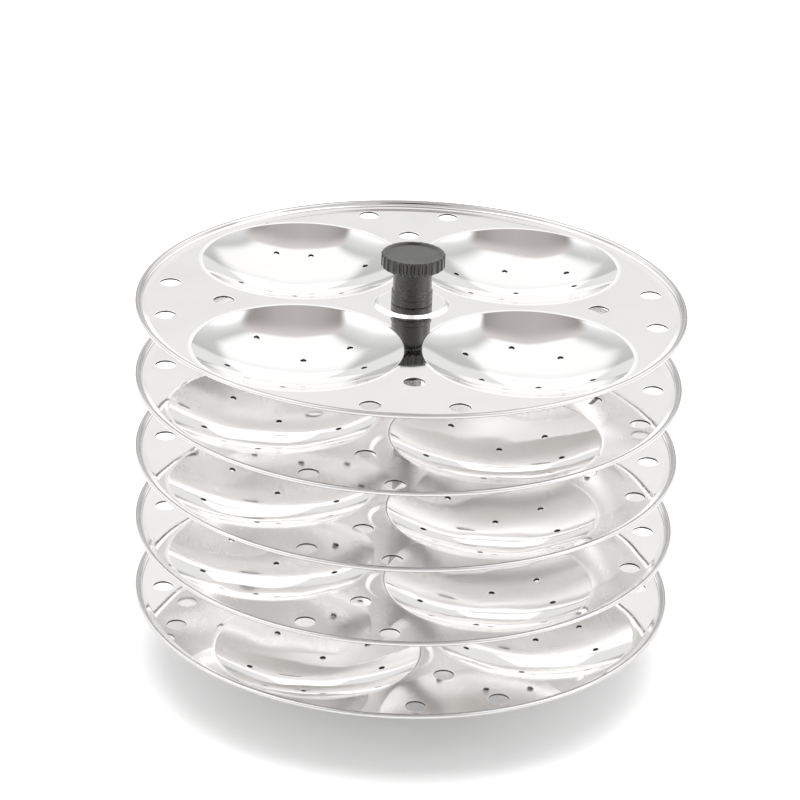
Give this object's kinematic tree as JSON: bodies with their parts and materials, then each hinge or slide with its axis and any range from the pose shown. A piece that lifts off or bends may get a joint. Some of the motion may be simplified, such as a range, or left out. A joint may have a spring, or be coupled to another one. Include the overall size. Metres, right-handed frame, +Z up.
{
  "type": "idli steamer rack",
  "caption": "Stack of round steel plates with dished steaming cups on a centre rod, with tube spacers, a small round foot and a black screw knob on top.",
  "frame": {"origin": "on the floor, under the middle of the foot", "axes": "+Z up along the centre rod, +X to the right and +Y away from the viewer of the picture"},
  "size_m": [0.2, 0.2, 0.1628],
  "materials": {
    "mirror_steel": "mirror-polished stainless steel sheet",
    "satin_steel": "satin stainless steel",
    "drawn_steel": "bright drawn stainless steel bar",
    "brass": "turned brass",
    "black_phenolic": "moulded black phenolic, half gloss"
  },
  "bodies": {
    "base": {"centre_rod": "drawn_steel", "foot_dish": "satin_steel", "foot_washer": "drawn_steel", "foot_nut": "drawn_steel"},
    "spacer_5": {"spacer_5": "satin_steel"},
    "plate_5": {"plate_5": "mirror_steel"},
    "spacer_4": {"spacer_4": "satin_steel"},
    "plate_4": {"plate_4": "mirror_steel"},
    "spacer_3": {"spacer_3": "satin_steel"},
    "plate_3": {"plate_3": "mirror_steel"},
    "spacer_2": {"spacer_2": "satin_steel"},
    "plate_2": {"plate_2": "mirror_steel"},
    "spacer_1": {"spacer_1": "satin_steel"},
    "plate_1": {"plate_1": "mirror_steel"},
    "knob_bush": {"knob_bush": "brass"},
    "knob": {"knob": "black_phenolic"}
  },
  "joints": [
    {"name": "spacer_5_lift", "type": "slide", "parent": "base", "child": "spacer_5", "axis": [0, 0, 1], "range_m": [0, 0.1458]},
    {"name": "plate_5_turn", "type": "hinge", "parent": "spacer_5", "child": "plate_5", "pos_m": [0, 0, 0.027], "axis": [0, 0, 1], "continuous": true},
    {"name": "spacer_4_lift", "type": "slide", "parent": "spacer_5", "child": "spacer_4", "axis": [0, 0, 1], "range_m": [0, 0.1276]},
    {"name": "plate_4_turn", "type": "hinge", "parent": "spacer_4", "child": "plate_4", "pos_m": [0, 0, 0.0559], "axis": [0, 0, 1], "continuous": true},
    {"name": "spacer_3_lift", "type": "slide", "parent": "spacer_4", "child": "spacer_3", "axis": [0, 0, 1], "range_m": [0, 0.0987]},
    {"name": "plate_3_turn", "type": "hinge", "parent": "spacer_3", "child": "plate_3", "pos_m": [0, 0, 0.0848], "axis": [0, 0, 1], "continuous": true},
    {"name": "spacer_2_lift", "type": "slide", "parent": "spacer_3", "child": "spacer_2", "axis": [0, 0, 1], "range_m": [0, 0.0698]},
    {"name": "plate_2_turn", "type": "hinge", "parent": "spacer_2", "child": "plate_2", "pos_m": [0, 0, 0.1137], "axis": [0, 0, 1], "continuous": true},
    {"name": "spacer_1_lift", "type": "slide", "parent": "spacer_2", "child": "spacer_1", "axis": [0, 0, 1], "range_m": [0, 0.0409]},
    {"name": "plate_1_turn", "type": "hinge", "parent": "spacer_1", "child": "plate_1", "pos_m": [0, 0, 0.1426], "axis": [0, 0, 1], "continuous": true},
    {"name": "knob_lift", "type": "slide", "parent": "spacer_1", "child": "knob_bush", "axis": [0, 0, 1], "range_m": [0, 0.0101]},
    {"name": "knob_spin", "type": "hinge", "parent": "knob_bush", "child": "knob", "pos_m": [0, 0, 0.1438], "axis": [0, 0, 1], "range_deg": [0, 3600]}
  ],
  "couplings": [
    {"joint": "knob_lift", "follows": "knob_spin", "m_per_rad": 0.00015915}
  ]
}
